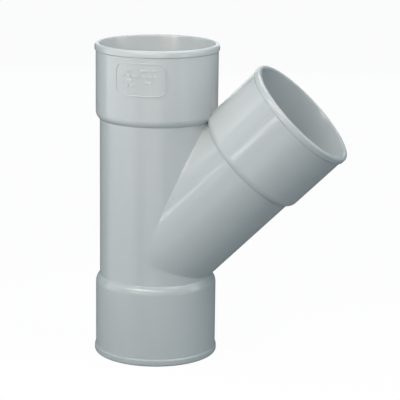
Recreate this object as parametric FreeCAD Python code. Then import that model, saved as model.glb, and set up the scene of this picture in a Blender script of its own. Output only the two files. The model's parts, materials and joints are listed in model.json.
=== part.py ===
import FreeCAD, Part
import math
import os

# A 45 degree wye for 110 mm pipe, injection moulded in one piece of rigid plastic.
# A straight run stands upright, a branch of the same size leaves it at an angle,
# and each of the three ends is a plain socket that a pipe is glued into.
# The origin is the centre of the lower mouth, +Z runs up the run, +X is the branch side.
# All lengths are in millimetres and all angles in degrees.

# Pipe that the sockets take, and how deep it goes in: the lower socket is deeper than the others
PIPE_DIAMETER = 110.0
GLUE_GAP = 0.15
PIPE_STOP_DEPTH = 63.0
LOWER_STOP_DEPTH = 69.3

# Lie of the branch: its angle, how far below the crotch of the two sockets their
# walls start, and the plain tube between the branch's throat and the lower shoulder
BRANCH_ANGLE = 45.0
SHOULDER_BELOW_CROTCH = 2.82
TUBE_BELOW_THROAT = 1.0

# Tube between the sockets, as wide outside as the pipe, and a hair less on the branch
TUBE_WALL = 3.4
BRANCH_RELIEF = 0.2

# Socket wall and the rounded shoulder that steps down from it to the tube
SOCKET_WALL = 3.8
STOP_BACKING = 0.5
SHOULDER_RADIUS = 12.0
SHOULDER_FOOT_RADIUS = 1.2

# Bead round each mouth, and the bevelled edges of its rim
BEAD_HEIGHT = 7.0
BEAD_PROUD = 1.45
BEAD_TAPER = 1.5
RIM_BEVEL = 1.6
LEAD_IN_WIDTH = 0.6
LEAD_IN_DEPTH = 2.0

# Blend where the branch meets the run outside, and bevel of the edge between their bores
JUNCTION_RADIUS = 2.0
SEPTUM_BEVEL = 0.8

# Radii that follow from the sizes above
SOCKET_BORE = PIPE_DIAMETER / 2 + GLUE_GAP
SOCKET_OUTSIDE = SOCKET_BORE + SOCKET_WALL
BEAD_OUTSIDE = SOCKET_OUTSIDE + BEAD_PROUD
RUN_OUTSIDE = PIPE_DIAMETER / 2
RUN_BORE = RUN_OUTSIDE - TUBE_WALL
BRANCH_OUTSIDE = RUN_OUTSIDE - BRANCH_RELIEF
BRANCH_BORE = BRANCH_OUTSIDE - TUBE_WALL

# Lengths of the legs, each from the crossing of the two axes to its mouth
ANGLE = math.radians(BRANCH_ANGLE)
CROTCH = SOCKET_OUTSIDE / math.tan(ANGLE / 2)
THROAT = RUN_OUTSIDE * math.tan(ANGLE / 2)
SOCKET_LENGTH = PIPE_STOP_DEPTH + STOP_BACKING
LOWER_SOCKET_LENGTH = LOWER_STOP_DEPTH + STOP_BACKING
SHOULDER_ARM = SHOULDER_RADIUS + SHOULDER_FOOT_RADIUS
FOOT_INSET = SHOULDER_ARM - (SOCKET_OUTSIDE - RUN_OUTSIDE)
FOOTED_SHOULDER = math.sqrt(SHOULDER_ARM ** 2 - FOOT_INSET ** 2)
LONG_LEG = CROTCH - SHOULDER_BELOW_CROTCH + SOCKET_LENGTH
LOWER_LEG = THROAT + TUBE_BELOW_THROAT + FOOTED_SHOULDER + LOWER_SOCKET_LENGTH

# Directions and turns
UP = FreeCAD.Vector(0, 0, 1)
CROSSWISE = FreeCAD.Vector(0, 1, 0)
HALF_TURN = 180
FULL_TURN = 360
CROSSING = FreeCAD.Vector(0, 0, LOWER_LEG)
BRANCH_AXIS = FreeCAD.Vector(math.sin(ANGLE), 0, math.cos(ANGLE))

# How far a tool body passes beyond the face that it has to cut through
OVERRUN = 5.0
# How nearly two directions have to agree to count as the same
SAME_DIRECTION = 1e-6


def at(radius, along):
    """A point of a leg's half outline: distance from its axis, distance along it."""
    return FreeCAD.Vector(radius, 0, along)


def straight_edges(corners):
    """The straight edges of an outline, from each corner to the next."""
    return [Part.LineSegment(a, b).toShape() for a, b in zip(corners, corners[1:])]


def arc_about(centre, radius, first, last):
    """A round edge of an outline about a centre, between two angles in radians."""
    def on_circle(angle):
        return centre + at(radius * math.cos(angle), radius * math.sin(angle))
    return Part.Arc(on_circle(first), on_circle((first + last) / 2), on_circle(last)).toShape()


def end_of(edge):
    """The point where an edge of an outline ends."""
    return edge.valueAt(edge.LastParameter)


def start_of(edge):
    """The point where an edge of an outline starts."""
    return edge.valueAt(edge.FirstParameter)


def turned(edges):
    """The solid that a closed half outline sweeps in one turn about the leg's axis."""
    return Part.Face(Part.Wire(edges)).revolve(at(0, 0), UP, FULL_TURN)


def crisp_shoulder(tube_radius, wall_start):
    """The round shoulder of a socket, ending on its tube in a sharp corner."""
    centre = at(SOCKET_OUTSIDE - SHOULDER_RADIUS, wall_start)
    slope = math.acos((tube_radius - centre.x) / SHOULDER_RADIUS)
    return [arc_about(centre, SHOULDER_RADIUS, -slope, 0)]


def footed_shoulder(tube_radius, wall_start):
    """The same shoulder, with a small hollow foot that leads it onto the run's tube."""
    centre = at(SOCKET_OUTSIDE - SHOULDER_RADIUS, wall_start)
    foot_centre = at(tube_radius + SHOULDER_FOOT_RADIUS, wall_start - FOOTED_SHOULDER)
    slope = math.atan2(FOOTED_SHOULDER, FOOT_INSET)
    foot = arc_about(foot_centre, SHOULDER_FOOT_RADIUS, math.pi, math.pi - slope)
    return [foot, arc_about(centre, SHOULDER_RADIUS, -slope, 0)]


def leg_outside(tube_radius, length, socket_length, shoulder_form):
    """The filled outer form of one leg, from the crossing out to its mouth."""
    shoulder = shoulder_form(tube_radius, length - socket_length)
    tube = straight_edges([at(0, 0), at(tube_radius, 0), start_of(shoulder[0])])
    socket = straight_edges([
        end_of(shoulder[-1]),
        at(SOCKET_OUTSIDE, length - BEAD_HEIGHT),
        at(BEAD_OUTSIDE, length - BEAD_HEIGHT + BEAD_TAPER),
        at(BEAD_OUTSIDE, length - RIM_BEVEL),
        at(BEAD_OUTSIDE - RIM_BEVEL, length),
        at(0, length),
        at(0, 0),
    ])
    return turned(tube + shoulder + socket)


def leg_bore(bore, length, stop_depth):
    """The hollow of one leg: waterway, pipe stop, socket and the lead-in at its mouth."""
    stop = length - stop_depth
    lead_in = SOCKET_BORE + LEAD_IN_WIDTH
    return turned(straight_edges([
        at(0, 0),
        at(bore, 0),
        at(bore, stop),
        at(SOCKET_BORE, stop),
        at(SOCKET_BORE, length - LEAD_IN_DEPTH),
        at(lead_in, length),
        at(lead_in, length + OVERRUN),
        at(0, length + OVERRUN),
        at(0, 0),
    ]))


def set_on_run(upward, downward):
    """Two legs made from the crossing outward, set end to end as the upright run."""
    below = downward.copy()
    below.rotate(at(0, 0), CROSSWISE, HALF_TURN)
    run = upward.fuse(below).removeSplitter()
    run.translate(CROSSING)
    return run


def set_on_branch(leg):
    """A leg made from the crossing outward, leaned over to the branch side."""
    branch = leg.copy()
    branch.rotate(at(0, 0), CROSSWISE, BRANCH_ANGLE)
    branch.translate(CROSSING)
    return branch


def axis_of(face):
    """The direction of a turned face's axis, or None for a flat face."""
    return getattr(face.Surface, "Axis", None) if not is_flat(face) else None


def is_flat(face):
    """True for a plane."""
    return isinstance(face.Surface, Part.Plane)


def lies_along(axis, direction):
    """True where an axis is parallel to a direction, either way round."""
    return axis is not None and 1 - abs(axis.dot(direction)) < SAME_DIRECTION


def junction_edges(shape):
    """The edges where a round face of the run meets a round face of the branch."""
    found = []
    for edge in shape.Edges:
        axes = [axis_of(face) for face in shape.ancestorsOfType(edge, Part.Face)]
        on_run = any(lies_along(axis, UP) for axis in axes)
        on_branch = any(lies_along(axis, BRANCH_AXIS) for axis in axes)
        if on_run and on_branch:
            found.append(edge)
    return found


def blended_outside():
    """The filled outer form. Only the lower shoulder is clear of the branch and has a foot."""
    upper_leg = leg_outside(RUN_OUTSIDE, LONG_LEG, SOCKET_LENGTH, crisp_shoulder)
    lower_leg = leg_outside(RUN_OUTSIDE, LOWER_LEG, LOWER_SOCKET_LENGTH, footed_shoulder)
    branch_leg = leg_outside(BRANCH_OUTSIDE, LONG_LEG, SOCKET_LENGTH, crisp_shoulder)
    body = set_on_run(upper_leg, lower_leg).fuse(set_on_branch(branch_leg)).removeSplitter()
    return body.makeFillet(JUNCTION_RADIUS, junction_edges(body))


def hollow():
    """The whole inside as one solid: the two bores, with their meeting edge bevelled."""
    run = set_on_run(leg_bore(RUN_BORE, LONG_LEG, PIPE_STOP_DEPTH),
                     leg_bore(RUN_BORE, LOWER_LEG, LOWER_STOP_DEPTH))
    branch = set_on_branch(leg_bore(BRANCH_BORE, LONG_LEG, PIPE_STOP_DEPTH))
    inside = run.fuse(branch).removeSplitter()
    return inside.makeChamfer(SEPTUM_BEVEL, junction_edges(inside))


def wye_body():
    """The moulded wye, one solid: its outer form less its hollow."""
    return blended_outside().cut(hollow()).Solids[0]


os.makedirs("parts", exist_ok=True)
body = wye_body()
body.exportStep("parts/wye_body.step")
print("wye_body", body.isValid(), len(body.Solids), "solid", len(body.Faces), "faces")
print("volume", round(body.Volume), "centre of mass", body.CenterOfMass)
print("box", body.optimalBoundingBox(False, False))
print("legs", round(LONG_LEG, 3), round(LOWER_LEG, 3))
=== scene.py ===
# %% [markdown]
# A drain wye in grey plastic
#
# This lesson dresses one moulded pipe fitting: a straight run with a socket at each end and an
# equal branch that leaves it at 45 degrees. The solid model arrives as a fixed frame, in metres,
# with +Z up the run and +X towards the branch. Everything below is built round that frame.

# %% Load the frame
import json
import math
import bmesh
import bpy
from mathutils import Matrix, Vector


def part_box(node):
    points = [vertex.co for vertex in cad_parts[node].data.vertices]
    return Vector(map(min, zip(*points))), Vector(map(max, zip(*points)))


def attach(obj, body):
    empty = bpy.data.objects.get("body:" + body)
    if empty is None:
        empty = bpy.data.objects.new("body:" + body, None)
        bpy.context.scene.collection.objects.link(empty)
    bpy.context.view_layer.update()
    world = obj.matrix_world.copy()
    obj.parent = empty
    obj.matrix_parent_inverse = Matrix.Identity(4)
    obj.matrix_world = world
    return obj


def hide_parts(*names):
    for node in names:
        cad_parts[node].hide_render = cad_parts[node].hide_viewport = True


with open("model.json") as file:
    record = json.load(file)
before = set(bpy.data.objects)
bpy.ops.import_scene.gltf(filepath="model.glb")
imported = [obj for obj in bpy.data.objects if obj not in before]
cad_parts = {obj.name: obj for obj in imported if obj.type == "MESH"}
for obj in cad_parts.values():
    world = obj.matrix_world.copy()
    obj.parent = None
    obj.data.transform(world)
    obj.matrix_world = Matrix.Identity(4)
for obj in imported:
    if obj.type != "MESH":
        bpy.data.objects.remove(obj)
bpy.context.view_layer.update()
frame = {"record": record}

# %% [markdown]
# Sizes that the frame knows
#
# Sizes could be typed in again, but then they might drift from the solid. So the lie of the two
# axes and the bore of the sockets are read from the frame, where the three mouths are listed as
# places that a pipe fits. The branch's axis leaves the run's where its own X comes to nothing,
# and that point is the crossing, from which every leg is measured.

# %% Read the lie of the two axes
MM = 0.001
UP = Vector((0, 0, 1))

low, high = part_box("wye_body")
mouths = {mount["name"]: mount for mount in frame["record"]["mounts"]}
branch_axis = Vector(mouths["branch_socket"]["axis"]).normalized()
branch_point = Vector(mouths["branch_socket"]["pos_m"])
CROSSING = branch_point - branch_axis * (branch_point.x / branch_axis.x)
HALF_ANGLE = branch_axis.angle(UP) / 2
LONG_LEG = high[2] - CROSSING.z
LOWER_LEG = CROSSING.z - low[2]
SOCKET_BORE = mouths["upper_socket"]["dims"]["r_mm"] * MM
SEAT_LENGTH = mouths["upper_socket"]["dims"]["length_mm"] * MM
LOWER_SEAT_LENGTH = mouths["lower_socket"]["dims"]["length_mm"] * MM
LEAD_IN_DEPTH = high[2] - mouths["upper_socket"]["pos_m"][2]
print("axes cross at", tuple(CROSSING), "long legs", LONG_LEG, "lower leg", LOWER_LEG)

# %% [markdown]
# Walls and small radii
#
# The frame doesn't state how thick the walls are or how round the ends. The wall is under 4 mm
# everywhere, and thicker at the sockets, where the glued joint takes the load. Each size gets a
# name here once, so that a change reaches every place that uses it. The backing is the stretch
# of full outer width behind the pipe's stop, before the shoulder begins.

# %% Name the walls and the small radii
TUBE_OUTSIDE = 55.0 * MM
TUBE_BORE = TUBE_OUTSIDE - 3.4 * MM
SOCKET_OUTSIDE = SOCKET_BORE + 3.8 * MM
BEAD_OUTSIDE = SOCKET_OUTSIDE + 1.2 * MM
CRISP_BACKING = 2.3 * MM
FOOTED_BACKING = 0.5 * MM
CRISP_SHOULDER = 9.5 * MM
FOOTED_SHOULDER = 12.0 * MM
FOOT_RADIUS = 1.2 * MM
BEAD_HEIGHT = 7.0 * MM
BEAD_FLANK = 1.0 * MM
BEAD_CROWN = 3.6 * MM
BEAD_BULGE_RADIUS = 25.0 * MM
RIM_RADIUS = 2.2 * MM
LIP_RADIUS = 1.2 * MM
LEAD_IN_WIDTH = 0.5 * MM
print("socket", 2 * SOCKET_OUTSIDE, "across, tube", 2 * TUBE_OUTSIDE, "across")

# %% [markdown]
# The shoulder
#
# Each leg is round, so its wall could be cut from cylinders or turned from an outline. Turning is
# the better way here: the shoulder, the bead and the rim are all curves of one section, and one
# outline holds the outer skin, the rim and the bore, so the wall comes out closed. There are two
# kinds of shoulder. The lower one has room for a wide curve with a small hollow foot, while the
# upper two meet in the crotch and end on their tubes in a crisp corner.

# %% Draw a round stretch and a shoulder
SHOULDER_STEPS = 10
FOOT_STEPS = 4


def arc(centre, radius, start, end, steps):
    """Points of a round stretch, each as distance from the axis and distance along it."""
    turns = [start + (end - start) * i / steps for i in range(steps + 1)]
    return [(centre[0] + radius * math.cos(a), centre[1] + radius * math.sin(a)) for a in turns]


def crisp_shoulder(wall_start):
    """The curve from the tube out to the socket wall, with a sharp corner on the tube."""
    centre = (SOCKET_OUTSIDE - CRISP_SHOULDER, wall_start)
    slope = math.acos((TUBE_OUTSIDE - centre[0]) / CRISP_SHOULDER)
    return arc(centre, CRISP_SHOULDER, -slope, 0, SHOULDER_STEPS)


def footed_shoulder(wall_start):
    """A wider curve, with a small hollow foot that leads it onto the tube."""
    centre = (SOCKET_OUTSIDE - FOOTED_SHOULDER, wall_start)
    across = TUBE_OUTSIDE + FOOT_RADIUS - centre[0]
    back = math.sqrt((FOOTED_SHOULDER + FOOT_RADIUS) ** 2 - across ** 2)
    slope = math.atan2(back, across)
    foot = arc((TUBE_OUTSIDE + FOOT_RADIUS, wall_start - back), FOOT_RADIUS,
               math.pi, math.pi - slope, FOOT_STEPS)
    return foot[:-1] + arc(centre, FOOTED_SHOULDER, -slope, 0, SHOULDER_STEPS)


print("a shoulder has", len(crisp_shoulder(0)), "or", len(footed_shoulder(0)), "points")

# %% [markdown]
# The mouth
#
# A pipe has to slide in, so the inner lip is round and leads in a little wider than the bore.
# Outside, a shallow bead stiffens the end: one wide arc for its bulge, with a tight arc for the
# rim. The bore then runs straight in to the stop, a flat ledge that the pipe is pushed against.

# %% Draw the mouth
BEAD_STEPS = 6
RIM_STEPS = 6
LIP_STEPS = 5


def mouth(length, stop_depth):
    """Bead, rounded rim and lip, and socket bore, from the outside round to the pipe stop."""
    crown = (BEAD_OUTSIDE - BEAD_BULGE_RADIUS, length - BEAD_CROWN)
    rise = math.asin((BEAD_HEIGHT - BEAD_FLANK - BEAD_CROWN) / BEAD_BULGE_RADIUS)
    fall = math.asin((BEAD_CROWN - RIM_RADIUS) / BEAD_BULGE_RADIUS)
    bulge = arc(crown, BEAD_BULGE_RADIUS, -rise, fall, BEAD_STEPS)
    rim_centre = (bulge[-1][0] - RIM_RADIUS, length - RIM_RADIUS)
    rim = arc(rim_centre, RIM_RADIUS, 0, math.pi / 2, RIM_STEPS)
    lip_centre = (SOCKET_BORE + LEAD_IN_WIDTH + LIP_RADIUS, length - LIP_RADIUS)
    lip = arc(lip_centre, LIP_RADIUS, math.pi / 2, math.pi, LIP_STEPS)
    return [(SOCKET_OUTSIDE, length - BEAD_HEIGHT)] + bulge[:-1] + rim + lip + [
        (SOCKET_BORE, length - LEAD_IN_DEPTH - LIP_RADIUS),
        (SOCKET_BORE, length - stop_depth),
        (TUBE_BORE, length - stop_depth),
    ]


print("a mouth has", len(mouth(LONG_LEG, SEAT_LENGTH + LEAD_IN_DEPTH)), "points")

# %% [markdown]
# The whole section
#
# The outline of the upper leg is followed by that of the lower leg, turned upside down and run
# through backwards. Together they close into one ring: out along the skin, round each rim and
# back along the bore.

# %% Join the legs to one section
def leg_outline(length, seat_length, shoulder, backing):
    """The whole section of one leg's wall, from tube to mouth outside and back inside."""
    stop_depth = seat_length + LEAD_IN_DEPTH
    return shoulder(length - stop_depth - backing) + mouth(length, stop_depth)


upper_outline = leg_outline(LONG_LEG, SEAT_LENGTH, crisp_shoulder, CRISP_BACKING)
lower_outline = leg_outline(LOWER_LEG, LOWER_SEAT_LENGTH, footed_shoulder, FOOTED_BACKING)
run_outline = upper_outline + [(radius, -along) for radius, along in reversed(lower_outline)]
print("the run's wall has", len(run_outline), "points in its section")

# %% [markdown]
# Turn the run
#
# The section is first a flat face, because a face knows how sharply each of its corners turns.
# The sharp ones get a small round, as steel moulds never leave a true edge. Then the face goes
# and its outline is spun once about the axis of the run.

# %% Turn the run from its section
TURN_STEPS = 144
EDGE_SOFTNESS = 0.25 * MM
EDGE_SEGMENTS = 3
TIGHT_CORNER = math.radians(20)


def turned_run():
    """The upright run: its closed section, turned once about +Z."""
    mesh = bmesh.new()
    ring = [mesh.verts.new((radius, 0, CROSSING.z + along)) for radius, along in run_outline]
    mesh.faces.new(ring)
    tight = [vert for vert in ring if vert.calc_edge_angle(0) > TIGHT_CORNER]
    bmesh.ops.bevel(mesh, geom=tight, offset=EDGE_SOFTNESS, segments=EDGE_SEGMENTS,
                    profile=0.5, affect="VERTICES", material=-1)
    bmesh.ops.delete(mesh, geom=mesh.faces[:], context="FACES_ONLY")
    bmesh.ops.spin(mesh, geom=mesh.verts[:] + mesh.edges[:], cent=(0, 0, 0), axis=UP,
                   angle=2 * math.pi, steps=TURN_STEPS, use_merge=True)
    return mesh


wall = turned_run()
print("the run has", len(wall.faces), "faces")

# %% [markdown]
# Two tubes from one
#
# The usual way to join two pipes is a boolean, which leaves ragged triangles along the joint.
# This fitting allows something neater. Run and branch are the same tube, so the branch is the
# upper leg mirrored in the plane that halves the angle between them, and the lower edge of the
# joint lies in a second plane, square to the first. Cutting the run with both planes, dropping
# the quarter that the branch takes and mirroring the quarter next to it gives one closed wall
# whose vertices already meet along the joint.

# %% Mirror the branch out of the run
TO_BRANCH = Vector((math.cos(HALF_ANGLE), 0, -math.sin(HALF_ANGLE)))
TO_TOP = Vector((math.sin(HALF_ANGLE), 0, math.cos(HALF_ANGLE)))
ON_PLANE = 1e-6
SEAM_MERGE = 20 * ON_PLANE


def with_corners(faces):
    """Some faces together with their edges and vertices, each one once."""
    edges = dict.fromkeys(edge for face in faces for edge in face.edges)
    verts = dict.fromkeys(vert for face in faces for vert in face.verts)
    return list(verts) + list(edges) + list(faces)


def beyond(mesh, direction):
    """The faces on the far side of the plane through the crossing."""
    return [face for face in mesh.faces
            if (face.calc_center_median() - CROSSING).dot(direction) > 0]


def cut(mesh, faces, direction):
    """Cuts some faces by the plane through the crossing that is square to a direction."""
    bmesh.ops.bisect_plane(mesh, geom=with_corners(faces), plane_co=CROSSING,
                           plane_no=direction, dist=ON_PLANE)


def mirrored_branch(mesh):
    """Swaps the run's quarter on the branch side for a mirror image of the one beside it."""
    cut(mesh, mesh.faces[:], TO_TOP)
    cut(mesh, beyond(mesh, TO_TOP), TO_BRANCH)
    on_branch_side = set(beyond(mesh, TO_BRANCH))
    quarter = [face for face in beyond(mesh, TO_TOP) if face in on_branch_side]
    bmesh.ops.delete(mesh, geom=quarter, context="FACES")
    copy = bmesh.ops.duplicate(mesh, geom=with_corners(beyond(mesh, TO_TOP)))["geom"]
    new_verts = [item for item in copy if isinstance(item, bmesh.types.BMVert)]
    new_faces = [item for item in copy if isinstance(item, bmesh.types.BMFace)]
    bmesh.ops.transform(mesh, matrix=Matrix.Scale(-1, 4, TO_BRANCH),
                        space=Matrix.Translation(-CROSSING), verts=new_verts)
    bmesh.ops.reverse_faces(mesh, faces=new_faces)
    bmesh.ops.remove_doubles(mesh, verts=mesh.verts[:], dist=SEAM_MERGE)
    bmesh.ops.recalc_face_normals(mesh, faces=mesh.faces[:])


mirrored_branch(wall)
open_edges = [edge for edge in wall.edges if len(edge.link_faces) != 2]
print("wall:", len(wall.faces), "faces,", len(open_edges), "open edges")

# %% [markdown]
# How round the joint is
#
# A moulded joint is never a knife edge. Where the tubes meet in the crotch the blend is small
# and crisp, while low on the sides it opens into a wide soft valley, and at the pocket between
# the two shoulders it is all but sharp. Inside, the edge between the two bores has a small even
# round. So the radius is worked out for each place along the joint.

# %% Work out the blend for each place
CROTCH_RADIUS = 1.2 * MM
POCKET_RADIUS = 0.2 * MM
POCKET_FADE = 16.0 * MM
THROAT_RADIUS = 2.2 * MM
VALLEY_SPREAD = 1.8
VALLEY_LIMIT = 0.1
SEPTUM_RADIUS = 1.0 * MM
MID_WALL = (TUBE_OUTSIDE + TUBE_BORE) / 2
SHOULDER_CORNER = upper_outline[0][1]


def smooth_step(value):
    """Eases from 0 to 1 as a value goes from 0 to 1, and holds beyond both ends."""
    value = min(max(value, 0), 1)
    return value * value * (3 - 2 * value)


def crotch_blend(place):
    """Radius along the upper edge: crisp, and almost sharp from the shoulders up."""
    below_corner = SHOULDER_CORNER - (place.z - CROSSING.z)
    fade = smooth_step(below_corner / POCKET_FADE)
    return POCKET_RADIUS + (CROTCH_RADIUS - POCKET_RADIUS) * fade


def throat_blend(place):
    """Radius along the lower edge: small at the throat, wide towards the sides."""
    side = max(place.x / TUBE_OUTSIDE, VALLEY_LIMIT)
    return THROAT_RADIUS * side ** -VALLEY_SPREAD


def is_inside(place):
    """True on the edge between the two bores, nearer to both axes than the middle of the wall."""
    to_branch_axis = (place - CROSSING).cross(branch_axis).length
    return math.hypot(place.x, place.y) < MID_WALL and to_branch_axis < MID_WALL


print("blend", CROTCH_RADIUS, "in the crotch,", THROAT_RADIUS, "at the throat")

# %% [markdown]
# Weights for a bevel
#
# One bevel width can't follow a radius that changes. But a Bevel modifier multiplies its width
# by a weight that every edge carries, so each edge of the joint gets the weight that makes its
# own radius, worked out from the turn between its two faces. All the other edges are shaded
# smooth, except where the wall really has a corner.

# %% Give each edge of the joint its weight
WIDEST_BEVEL = 10.0 * MM
SHARP_TURN = math.radians(28)
NO_TURN = math.radians(1)
ON_SEAM = 5 * ON_PLANE


def on_plane(edge, direction):
    """True where both ends of an edge lie in the plane through the crossing."""
    return all(abs((vert.co - CROSSING).dot(direction)) < ON_SEAM for vert in edge.verts)


def blend_radius(edge):
    """The blend that an edge of the joint gets, or 0 for any other edge."""
    middle = (edge.verts[0].co + edge.verts[1].co) / 2
    upper = on_plane(edge, TO_BRANCH)
    lower = on_plane(edge, TO_TOP) and middle.x > 0
    if not (upper or lower):
        return 0
    if is_inside(middle):
        return SEPTUM_RADIUS
    return crotch_blend(middle) if upper else throat_blend(middle)


def weigh_joint(mesh):
    """Writes the bevel weights, marks the corners that stay sharp, and counts the joint."""
    weight = mesh.edges.layers.float.new("bevel_weight_edge")
    count = 0
    for edge in mesh.edges:
        turn = edge.calc_face_angle(0)
        radius = blend_radius(edge)
        if radius and turn > NO_TURN:
            edge[weight] = min(radius * math.tan(turn / 2) / WIDEST_BEVEL, 1)
            count += 1
        else:
            edge.smooth = turn < SHARP_TURN
    for face in mesh.faces:
        face.smooth = True
    return count


print("blended edges:", weigh_joint(wall))

# %% [markdown]
# Hand the piece to the frame
#
# A finished mesh becomes an object at the origin and rides on the part's one body. The moulding
# also stands for the plain solid, which is then hidden. Its bevel stays a modifier, so that the
# weights can still be changed by hand.

# %% Make the moulding
JOINT_SEGMENTS = 6


def piece_from(mesh, name):
    """Turns a bmesh into an object at the origin that rides with the part."""
    data = bpy.data.meshes.new(name)
    mesh.to_mesh(data)
    mesh.free()
    piece = bpy.data.objects.new(name, data)
    bpy.context.collection.objects.link(piece)
    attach(piece, "root")
    return piece


wye = piece_from(wall, "wye_moulding")
blend = wye.modifiers.new("joint_blend", "BEVEL")
blend.limit_method = "WEIGHT"
blend.offset_type = "OFFSET"
blend.width = WIDEST_BEVEL
blend.segments = JOINT_SEGMENTS
blend.profile = 0.5
blend.use_clamp_overlap = False
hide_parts("wye_body")
print("wye:", len(wye.data.vertices), "vertices")

# %% [markdown]
# Flat plates for the raised panel
#
# A moulding die is often cut with a shallow line, so the plastic comes out with a thin raised
# frame. On the socket it stands up by less than a millimetre, and only its lit edge shows. A bump
# in the material could fake it from the front, but it would vanish at the outline and from the
# side, so it is real geometry. It starts as a flat plate with rounded corners, which is hollowed
# to a frame and cut into narrow slices, because only a sliced plate can follow a round wall.

# %% Shape flat plates
SLICE = 1.5 * MM


def plate(width, height, corner, steps):
    """A flat rectangle about the origin with rounded corners."""
    mesh = bmesh.new()
    bmesh.ops.create_grid(mesh, x_segments=1, y_segments=1, size=0.5)
    bmesh.ops.scale(mesh, vec=(width, height, 1), verts=mesh.verts[:])
    bmesh.ops.bevel(mesh, geom=mesh.verts[:], offset=corner, segments=steps, profile=0.5,
                    affect="VERTICES", material=-1)
    return mesh


def hollow_out(mesh, line):
    """Leaves only a frame of a given width round the edge of a plate."""
    middle = mesh.faces[:]
    bmesh.ops.inset_region(mesh, faces=middle, thickness=line, use_boundary=True,
                           use_even_offset=True)
    bmesh.ops.delete(mesh, geom=middle, context="FACES_ONLY")


def slice_up(mesh, width):
    """Cuts a plate into upright slices, narrow enough to follow the round wall."""
    count = math.ceil(width / SLICE)
    for i in range(1, count):
        place = ((i / count - 0.5) * width, 0, 0)
        bmesh.ops.bisect_plane(mesh, geom=mesh.verts[:] + mesh.edges[:] + mesh.faces[:],
                               plane_co=place, plane_no=(1, 0, 0), dist=ON_PLANE)


print("slices are at most", SLICE, "wide")

# %% [markdown]
# Thicken a plate and roll it on
#
# The plate is extruded, its upper edges are softened, and then every vertex is carried round the
# socket: its distance across becomes an angle, and its height becomes a radius. The foot of the
# plate is sunk a little into the wall, so that no gap can open under it.

# %% Thicken plates and roll them onto the socket
SUNK = 0.30 * MM
TOP_SOFTNESS = 0.25 * MM
TOP_SEGMENTS = 2
STEEP = math.radians(80)


def thicken(mesh, rise):
    """Gives a plate its thickness, from under the wall's surface up, and softens its top."""
    made = bmesh.ops.extrude_face_region(mesh, geom=mesh.faces[:], use_keep_orig=True)["geom"]
    top = [item for item in made if isinstance(item, bmesh.types.BMVert)]
    bmesh.ops.translate(mesh, vec=(0, 0, rise + SUNK), verts=top)
    bmesh.ops.recalc_face_normals(mesh, faces=mesh.faces[:])
    rim = [edge for edge in mesh.edges
           if edge.calc_face_angle(0) > STEEP and all(vert.co.z > rise for vert in edge.verts)]
    bmesh.ops.bevel(mesh, geom=rim, offset=TOP_SOFTNESS, segments=TOP_SEGMENTS, profile=0.5,
                    affect="EDGES", material=-1)


def roll_on(mesh, azimuth, height):
    """Rolls a flat piece round the upper socket: its X becomes an angle, its Z the radius."""
    for vert in mesh.verts:
        angle = azimuth + vert.co.x / SOCKET_OUTSIDE
        radius = SOCKET_OUTSIDE - SUNK + vert.co.z
        vert.co = (radius * math.sin(angle), -radius * math.cos(angle), height + vert.co.y)


def gather(target, mesh):
    """Adds one mesh to another and frees it."""
    data = bpy.data.meshes.new("part")
    mesh.to_mesh(data)
    mesh.free()
    target.from_mesh(data)
    bpy.data.meshes.remove(data)


print("plates are sunk", SUNK, "into the wall")

# %% [markdown]
# The raised panel
#
# Inside the frame stand two blocks of short plain bars, a pattern and no more. Each row of a
# block is given by how far it is set in and by the lengths of its bars, so a loop makes them all.
# Frame and bars are gathered into one mesh: on the real object they are one cut of the die.

# %% Raise the panel
PANEL_WIDTH = 51.4 * MM
PANEL_HEIGHT = 31.6 * MM
PANEL_CORNER = 8.5 * MM
PANEL_CORNER_STEPS = 10
PANEL_LINE = 1.1 * MM
PANEL_AZIMUTH = math.radians(-1.0)
PANEL_BELOW_MOUTH = 27.3 * MM
PANEL_RISE = 0.70 * MM
BAR_RISE = 0.75 * MM
BAR_HEIGHT = 2.3 * MM
BAR_CORNER = 0.5 * MM
BAR_CORNER_STEPS = 3
BAR_GAP = 1.2 * MM
TOP_ROW = 8.6 * MM
LEFT_BLOCK = {"left": -19.0 * MM, "pitch": 4.8 * MM,
              "rows": ((5.5, (3.0, 3.5)), (0, (5.0, 4.0, 6.5)), (6.0, (6.0,)), (5.0, (3.0, 4.0)))}
RIGHT_BLOCK = {"left": 1.0 * MM, "pitch": 5.5 * MM,
               "rows": ((0, (6.5, 8.0)), (1.5, (3.0, 5.5, 3.0)), (3.5, (7.0,)))}


def add_frame(target, height):
    """The thin raised line round the panel."""
    mesh = plate(PANEL_WIDTH, PANEL_HEIGHT, PANEL_CORNER, PANEL_CORNER_STEPS)
    hollow_out(mesh, PANEL_LINE)
    slice_up(mesh, PANEL_WIDTH)
    thicken(mesh, PANEL_RISE)
    roll_on(mesh, PANEL_AZIMUTH, height)
    gather(target, mesh)


def add_bar(target, left, height, length):
    """One plain bar, from its left end."""
    mesh = plate(length, BAR_HEIGHT, BAR_CORNER, BAR_CORNER_STEPS)
    slice_up(mesh, length)
    thicken(mesh, BAR_RISE)
    roll_on(mesh, PANEL_AZIMUTH + (left + length / 2) / SOCKET_OUTSIDE, height)
    gather(target, mesh)


def add_bars(target, height, block):
    """Rows of bars of different lengths, each row set in from the block's left edge."""
    for number, (inset, lengths) in enumerate(block["rows"]):
        across = block["left"] + inset * MM
        up = height + TOP_ROW - block["pitch"] * number
        for length in lengths:
            add_bar(target, across, up, length * MM)
            across += length * MM + BAR_GAP


def raised_panel():
    """Frame and bars as one mesh."""
    mesh = bmesh.new()
    height = CROSSING.z + LONG_LEG - PANEL_BELOW_MOUTH
    add_frame(mesh, height)
    add_bars(mesh, height, LEFT_BLOCK)
    add_bars(mesh, height, RIGHT_BLOCK)
    return mesh


panel = piece_from(raised_panel(), "raised_panel")
print("panel:", len(panel.data.polygons), "faces")

# %% [markdown]
# The gate pip
#
# Where the melt entered the mould, a small pip is left when the sprue is broken off. It is a
# flattened ball, half sunk in the wall.

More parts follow.
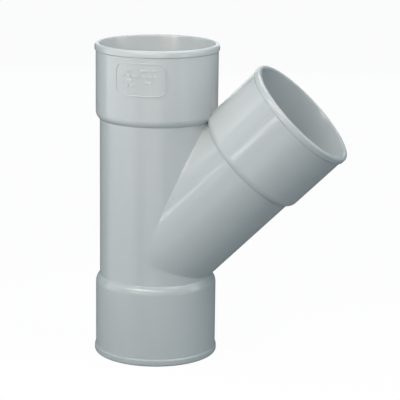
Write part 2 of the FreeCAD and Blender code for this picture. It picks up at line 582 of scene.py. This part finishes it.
# %% Leave the gate pip
PIP_RADIUS = 0.9 * MM
PIP_HEIGHT = 0.4 * MM
PIP_AZIMUTH = math.radians(12.5)
PIP_BELOW_MOUTH = 50.5 * MM
PIP_STEPS_ROUND = 24
PIP_STEPS_UP = 12


def gate_pip():
    """A small flat dome on the front of the upper socket."""
    mesh = bmesh.new()
    bmesh.ops.create_uvsphere(mesh, u_segments=PIP_STEPS_ROUND, v_segments=PIP_STEPS_UP,
                              radius=PIP_RADIUS)
    bmesh.ops.scale(mesh, vec=(1, PIP_HEIGHT / PIP_RADIUS, 1), verts=mesh.verts[:])
    bmesh.ops.translate(mesh, vec=(0, -SOCKET_OUTSIDE, CROSSING.z + LONG_LEG - PIP_BELOW_MOUTH),
                        verts=mesh.verts[:])
    bmesh.ops.rotate(mesh, cent=(0, 0, 0), matrix=Matrix.Rotation(PIP_AZIMUTH, 3, "Z"),
                     verts=mesh.verts[:])
    for face in mesh.faces:
        face.smooth = True
    return mesh


pip = piece_from(gate_pip(), "gate_pip")
print("pip at", round(PIP_BELOW_MOUTH / MM, 1), "mm below the mouth")

# %% [markdown]
# Shader maths as Python
#
# A material is a small program, and a long list of nodes hides what it does. So one class wraps
# the output of a node: the signs + * < and > between values add Math nodes, and one method
# adds any other node. After that a pattern reads like the formula that it is.

# %% Wrap a socket so that expressions build nodes
class Value:
    """What a node gives out, used in expressions as a number is."""

    def __init__(self, tree, socket):
        self.tree = tree
        self.socket = socket

    def node(self, kind, settings, inputs, output=0):
        """Adds a node: its type, its settings, then the values or links of its sockets."""
        made = self.tree.nodes.new(kind)
        for name, setting in settings.items():
            setattr(made, name, setting)
        for name, value in inputs.items():
            if isinstance(value, Value):
                self.tree.links.new(value.socket, made.inputs[name])
            else:
                made.inputs[name].default_value = value
        return Value(self.tree, made.outputs[output])

    def maths(self, operation, first, second):
        """A Math node on two values, either of which may be a plain number."""
        return self.node("ShaderNodeMath", {"operation": operation}, {0: first, 1: second})

    def __add__(self, other):
        return self.maths("ADD", self, other)

    def __radd__(self, other):
        return self.maths("ADD", other, self)

    def __mul__(self, other):
        return self.maths("MULTIPLY", self, other)

    def __rmul__(self, other):
        return self.maths("MULTIPLY", other, self)

    def __gt__(self, other):
        return self.maths("GREATER_THAN", self, other)

    def __lt__(self, other):
        return self.maths("LESS_THAN", self, other)


print("a value adds", ["+", "*", "<", ">"], "as Math nodes")

# %% [markdown]
# Helpers for patterns
#
# Every material starts from its shader and from the object's own coordinates, which stay with
# the object when it moves. Noise gives cloudy patterns, remap turns a pattern into the range that
# a socket needs, and a Mix node blends colours. A Math node would turn a colour grey.

# %% Make the pattern helpers
MIX_FIRST_COLOUR = 6
MIX_SECOND_COLOUR = 7
MIX_COLOUR_OUT = 2


def new_material(name):
    """An empty material, its shader, and the object's own coordinates as a Value."""
    material = bpy.data.materials.new(name)
    material.use_nodes = True
    tree = material.node_tree
    place = Value(tree, tree.nodes.new("ShaderNodeTexCoord").outputs["Object"])
    return material, tree.nodes["Principled BSDF"], place


def feed(shader, name, value):
    """Links a value into one socket of the shader."""
    value.tree.links.new(value.socket, shader.inputs[name])


def noise(place, scale, detail, stretch=(1, 1, 1)):
    """A cloudy pattern between 0 and 1. The scale is in repeats to the metre."""
    stretched = place.node("ShaderNodeMapping", {"vector_type": "POINT"},
                           {"Vector": place, "Scale": stretch})
    return place.node("ShaderNodeTexNoise", {"noise_dimensions": "3D"},
                      {"Vector": stretched, "Scale": scale, "Detail": detail})


def blend_colours(factor, first, second):
    """A colour between two colours, by a value between 0 and 1."""
    return factor.node("ShaderNodeMix", {"data_type": "RGBA"},
                       {0: factor, MIX_FIRST_COLOUR: first, MIX_SECOND_COLOUR: second},
                       output=MIX_COLOUR_OUT)


def remap(value, ends, results):
    """Carries one range smoothly over to another, and holds beyond both ends."""
    return value.node("ShaderNodeMapRange", {"interpolation_type": "SMOOTHSTEP"},
                      {"Value": value, "From Min": ends[0], "From Max": ends[1],
                       "To Min": results[0], "To Max": results[1]})


print("helpers:", [helper.__name__ for helper in (noise, blend_colours, remap)])

# %% [markdown]
# Specks in the plastic
#
# A few dark specks are caught in almost every moulding. A Voronoi pattern scatters one point in
# each of its cells, and the distance to that point draws a dot. Every cell also has a colour of
# its own, which serves as a lot: only cells that draw a low number keep their dot.

# %% Scatter the specks
SPECK_COLOUR = (0.20, 0.21, 0.22, 1)
SPECK_CELLS = 42
SPECK_RADIUS = 0.35 * MM
SPECK_SHARE = 0.30


def cells(place, output):
    """A Voronoi pattern of the specks' cells: the distance to a point, or the cell's colour."""
    return place.node("ShaderNodeTexVoronoi", {"feature": "F1"},
                      {"Vector": place, "Scale": SPECK_CELLS}, output=output)


def specks(place):
    """1 on a few scattered dots, 0 elsewhere."""
    lot = place.node("ShaderNodeSeparateColor", {}, {"Color": cells(place, "Color")})
    dot = cells(place, "Distance") < SPECK_RADIUS * SPECK_CELLS
    return dot * (lot < SPECK_SHARE)


print("specks are", 2 * SPECK_RADIUS, "across")

# %% [markdown]
# The plastic
#
# Rigid PVC is opaque, a little glossy and faintly blue in its grey. One flat colour would look
# like paint. On a real moulding the shade drifts slowly where the melt slowed down, fine streaks
# follow the way that it flowed, the gloss varies from place to place, and the skin has slow
# ripples and a very fine grain from the steel of the mould. Each of these is one named pattern,
# and all of them read the object's own coordinates, so that run and branch are one piece of
# plastic. The ripples are faint: only the reflections show them.

# %% Make the grey plastic
PLASTIC_PALE = (0.530, 0.560, 0.566, 1)
PLASTIC_DEEP = (0.515, 0.548, 0.556, 1)
DRIFT_REPEATS = 14
DRIFT_SHARE = 0.65
STREAK_REPEATS = 60
STREAK_STRETCH = (1, 1, 0.12)
STREAK_SHARE = 0.35
SHADE_ENDS = (0.35, 0.65)
GLOSS_REPEATS = 25
GLOSS_SHARE = 0.6
GLOSS_STREAK_SHARE = 0.4
GLOSS_ENDS = (0.3, 0.7)
ROUGHNESS = (0.14, 0.17)
RIPPLE_REPEATS = 22
RIPPLE_STRENGTH = 0.05
RIPPLE_DEPTH = 1.0 * MM
GRAIN_REPEATS = 1500
GRAIN_STRENGTH = 0.10
GRAIN_DEPTH = 0.08 * MM


def skin(place):
    """The bent normals of the surface: slow ripples with a very fine grain on them."""
    ripple = place.node("ShaderNodeBump", {}, {"Height": noise(place, RIPPLE_REPEATS, detail=1),
                                               "Strength": RIPPLE_STRENGTH,
                                               "Distance": RIPPLE_DEPTH})
    return place.node("ShaderNodeBump", {}, {"Height": noise(place, GRAIN_REPEATS, detail=2),
                                             "Strength": GRAIN_STRENGTH,
                                             "Distance": GRAIN_DEPTH, "Normal": ripple})


def grey_plastic():
    """The moulded grey plastic of the whole fitting."""
    material, shader, place = new_material("grey_pvc")
    drift = noise(place, DRIFT_REPEATS, detail=2)
    streaks = noise(place, STREAK_REPEATS, detail=3, stretch=STREAK_STRETCH)
    shade = remap(drift * DRIFT_SHARE + streaks * STREAK_SHARE, SHADE_ENDS, (0, 1))
    body = blend_colours(shade, PLASTIC_PALE, PLASTIC_DEEP)
    feed(shader, "Base Color", blend_colours(specks(place), body, SPECK_COLOUR))
    gloss = noise(place, GLOSS_REPEATS, detail=1) * GLOSS_SHARE + streaks * GLOSS_STREAK_SHARE
    feed(shader, "Roughness", remap(gloss, GLOSS_ENDS, ROUGHNESS))
    feed(shader, "Normal", skin(place))
    return material


plastic = grey_plastic()
for piece in (wye, panel, pip):
    piece.data.materials.append(plastic)
print("plastic has", len(plastic.node_tree.nodes), "nodes")

# %% [markdown]
# What the plastic mirrors
#
# The camera looks a little down, so an upright glossy wall mirrors the floor and not the lamps.
# A plain floor would lay one even veil over the whole run. In a studio, though, such plastic
# shows soft upright bands, the images of bright things further off. So the floor gets two
# strips, each of which fans out from the object in one direction and starts some way off. Only
# reflections will see them.

# %% Lay out the mirrored strips
FRONT_STRIP = {"azimuth": math.radians(8), "edge": (0.95, 0.985), "glow": 0.9}
LEFT_STRIP = {"azimuth": math.radians(-60), "edge": (0.75, 0.90), "glow": 0.8}
STRIP_FROM = (0.25, 0.45)
FLOOR_SHEEN = 0.18


def mirrored_strip(place, strip):
    """Bright over a range of directions from the object, and dark close by and elsewhere."""
    direction = (math.sin(strip["azimuth"]), -math.cos(strip["azimuth"]), 0)
    distance = place.node("ShaderNodeVectorMath", {"operation": "LENGTH"}, {0: place},
                          output="Value")
    outward = place.node("ShaderNodeVectorMath", {"operation": "NORMALIZE"}, {0: place})
    facing = place.node("ShaderNodeVectorMath", {"operation": "DOT_PRODUCT"},
                        {0: outward, 1: direction}, output="Value")
    fan = remap(distance, STRIP_FROM, (0, 1)) * remap(facing, strip["edge"], (0, 1))
    return fan * strip["glow"]


print("strips start", STRIP_FROM[0], "m from the middle of the floor")

# %% [markdown]
# The floor
#
# The object stands before plain white. More light would turn the floor white, but it would bleach
# the plastic too, and a white floor throws light up at the underside of the branch, which is
# nearly the darkest part of the real object. So the floor is three materials in one, told apart
# by Light Path. To the camera it mixes its own glow with its shading, which keeps the object's
# soft shadow. To a reflection it is black with the two glowing strips and a little sheen. To the
# light that it scatters it is a dull grey.

# %% Make the floor's material
WHITE = (1, 1, 1, 1)
BLACK = (0, 0, 0, 1)
FLOOR_DULL = (0.30, 0.33, 0.35, 1)
FLOOR_GLOW_SHARE = 0.96


def either(factor, first, second):
    """The first surface where a factor is 0, the second where it is 1, a mixture between."""
    return first.node("ShaderNodeMixShader", {}, {0: factor, 1: first, 2: second})


def pale_floor():
    """White with a soft shadow to the camera, strips to gloss, and dull grey to other light."""
    material, shader, place = new_material("pale_floor")
    tree = material.node_tree
    shader.inputs["Base Color"].default_value = FLOOR_DULL
    shader.inputs["Specular IOR Level"].default_value = 0
    dull = Value(tree, shader.outputs["BSDF"])
    shading = place.node("ShaderNodeBsdfDiffuse", {}, {"Color": WHITE})
    dark = place.node("ShaderNodeBsdfDiffuse", {}, {"Color": BLACK})
    glow = place.node("ShaderNodeEmission", {}, {"Color": WHITE, "Strength": 1.0})
    to_camera = place.node("ShaderNodeLightPath", {}, {}, output="Is Camera Ray")
    to_gloss = place.node("ShaderNodeLightPath", {}, {}, output="Is Glossy Ray")
    strips = (mirrored_strip(place, FRONT_STRIP) + mirrored_strip(place, LEFT_STRIP)
              + FLOOR_SHEEN)
    unseen = either(to_gloss, dull, either(strips, dark, glow))
    floor = either(to_camera, unseen, either(FLOOR_GLOW_SHARE, shading, glow))
    tree.links.new(floor.socket, tree.nodes["Material Output"].inputs["Surface"])
    return material


floor_material = pale_floor()
print("floor has", len(floor_material.node_tree.nodes), "nodes")

# %% [markdown]
# The stage
#
# The floor is one flat square, wide enough to fill the view from every side.

# %% Lay the floor
FLOOR_REACH = 6.0


def lay_floor(material):
    """A wide level floor under the object."""
    mesh = bmesh.new()
    bmesh.ops.create_grid(mesh, x_segments=1, y_segments=1, size=FLOOR_REACH)
    data = bpy.data.meshes.new("floor")
    mesh.to_mesh(data)
    mesh.free()
    floor = bpy.data.objects.new("floor", data)
    bpy.context.collection.objects.link(floor)
    data.materials.append(material)


lay_floor(floor_material)
print("floor reaches", FLOOR_REACH, "m each way")

# %% [markdown]
# The backdrop
#
# The world is the backdrop. The camera sees it as white, at a strength of 1. To any other ray it
# is all but dark, because a studio's light comes from its lamps. The little that it gives is
# blue and fills the deepest shade.

# %% Set the world
WORLD_DIM = (0.03, 0.11, 0.14, 1)


def white_world():
    """White behind the object, dim to the light that reaches it."""
    world = bpy.data.worlds.new("studio")
    bpy.context.scene.world = world
    world.use_nodes = True
    tree = world.node_tree
    backdrop = tree.nodes["Background"]
    to_camera = Value(tree, tree.nodes.new("ShaderNodeLightPath").outputs["Is Camera Ray"])
    feed(backdrop, "Color", blend_colours(to_camera, WORLD_DIM, WHITE))
    backdrop.inputs["Strength"].default_value = 1.0
    return world


print("world:", white_world().name)

# %% [markdown]
# The lamps
#
# Soft light needs large lamps close by. A wide bar high in front gives most of it, and falls off
# down the run. With a thin bar lower down it also draws the line of light on the lower shoulder,
# because a round edge mirrors a bar as a line. Boxes above light the rims and the inside of the
# mouths, boxes at both sides lift the edges of the tubes, and one behind serves whoever looks at
# the back. Some lamps in front and above are tinted warm and some at the sides cool, which
# balances the grey. Each line gives a lamp's name, place, size, power in watts and tint.

# %% Hang the lamps
MIDDLE = (0.05, 0, 0.16)


def softbox(name, place, size, watts, colour=(1, 1, 1)):
    """A wide area lamp that looks from its place at the middle of the object."""
    lamp = bpy.data.lights.new(name, "AREA")
    lamp.shape = "RECTANGLE"
    lamp.size, lamp.size_y = size
    lamp.energy = watts
    lamp.color = colour
    holder = bpy.data.objects.new(name, lamp)
    holder.location = place
    holder.rotation_euler = (Vector(MIDDLE) - Vector(place)).to_track_quat("-Z", "Y").to_euler()
    bpy.context.collection.objects.link(holder)


softbox("front_bar", (-0.1, -0.62, 0.6), (1.1, 0.12), 2.9, (0.98, 0.97, 0.96))
softbox("shoulder_bar", (-0.02, -0.75, 0.25), (1.0, 0.035), 0.9)
softbox("close_softbox", (-0.1, -0.4, 0.42), (0.3, 0.15), 0.42, (1, 0.8, 0.72))
softbox("key_strip", (-0.45, -1.3, 0.75), (0.15, 0.7), 1.8, (1, 0.92, 0.76))
softbox("top_softbox", (0.02, 0.1, 0.6), (0.3, 0.3), 0.66)
softbox("top_right_softbox", (0.4, -0.1, 0.75), (0.4, 0.4), 1.6, (1, 0.88, 0.84))
softbox("left_softbox", (-1.0, -0.2, 0.4), (0.5, 0.8), 2.2, (0.84, 0.92, 0.94))
softbox("low_left_softbox", (-1.0, -0.6, 0.1), (0.4, 0.25), 0.25)
softbox("right_softbox", (1.2, 0.1, 0.5), (0.5, 0.8), 3.0)
softbox("low_right_softbox", (1.1, -0.5, 0.05), (0.4, 0.2), 1.0, (0.85, 0.97, 1))
softbox("back_softbox", (-0.3, 1.6, 0.6), (1.2, 1.0), 3.5)
print("lamps:", len(bpy.data.lights))

# %% [markdown]
# The camera
#
# A long lens from well back keeps the two open mouths nearly the same size. The camera looks
# down by about 13 degrees and stands a little to the branch side, so that both can be looked
# into. It is held with a slight roll.

# %% Place the camera
CAMERA_AZIMUTH = math.radians(13.58)
CAMERA_HEIGHT = math.radians(13.29)
CAMERA_ROLL = math.radians(0.715)
CAMERA_DISTANCE = 1.683
CAMERA_AIM = Vector((0.04385, 0, 0.15428))
FOCAL_LENGTH = 156.1
SENSOR_WIDTH = 36.0


def place_camera():
    """A long lens that looks a little down on the fitting, with a slight roll."""
    back = Vector((math.sin(CAMERA_AZIMUTH) * math.cos(CAMERA_HEIGHT),
                   -math.cos(CAMERA_AZIMUTH) * math.cos(CAMERA_HEIGHT),
                   math.sin(CAMERA_HEIGHT)))
    level = UP.cross(back).normalized()
    upright = back.cross(level)
    right = level * math.cos(CAMERA_ROLL) + upright * math.sin(CAMERA_ROLL)
    top = back.cross(right)
    data = bpy.data.cameras.new("camera")
    data.lens = FOCAL_LENGTH
    data.sensor_width = SENSOR_WIDTH
    camera = bpy.data.objects.new("camera", data)
    turn = Matrix((right, top, back)).transposed().to_4x4()
    camera.matrix_world = Matrix.Translation(CAMERA_AIM + back * CAMERA_DISTANCE) @ turn
    bpy.context.collection.objects.link(camera)
    bpy.context.scene.camera = camera
    return camera


print("camera at", tuple(place_camera().location))

# %% [markdown]
# Finish
#
# The Standard view keeps the colours as they were mixed.

# %% Set the view and finish
bpy.context.scene.view_settings.view_transform = "Standard"
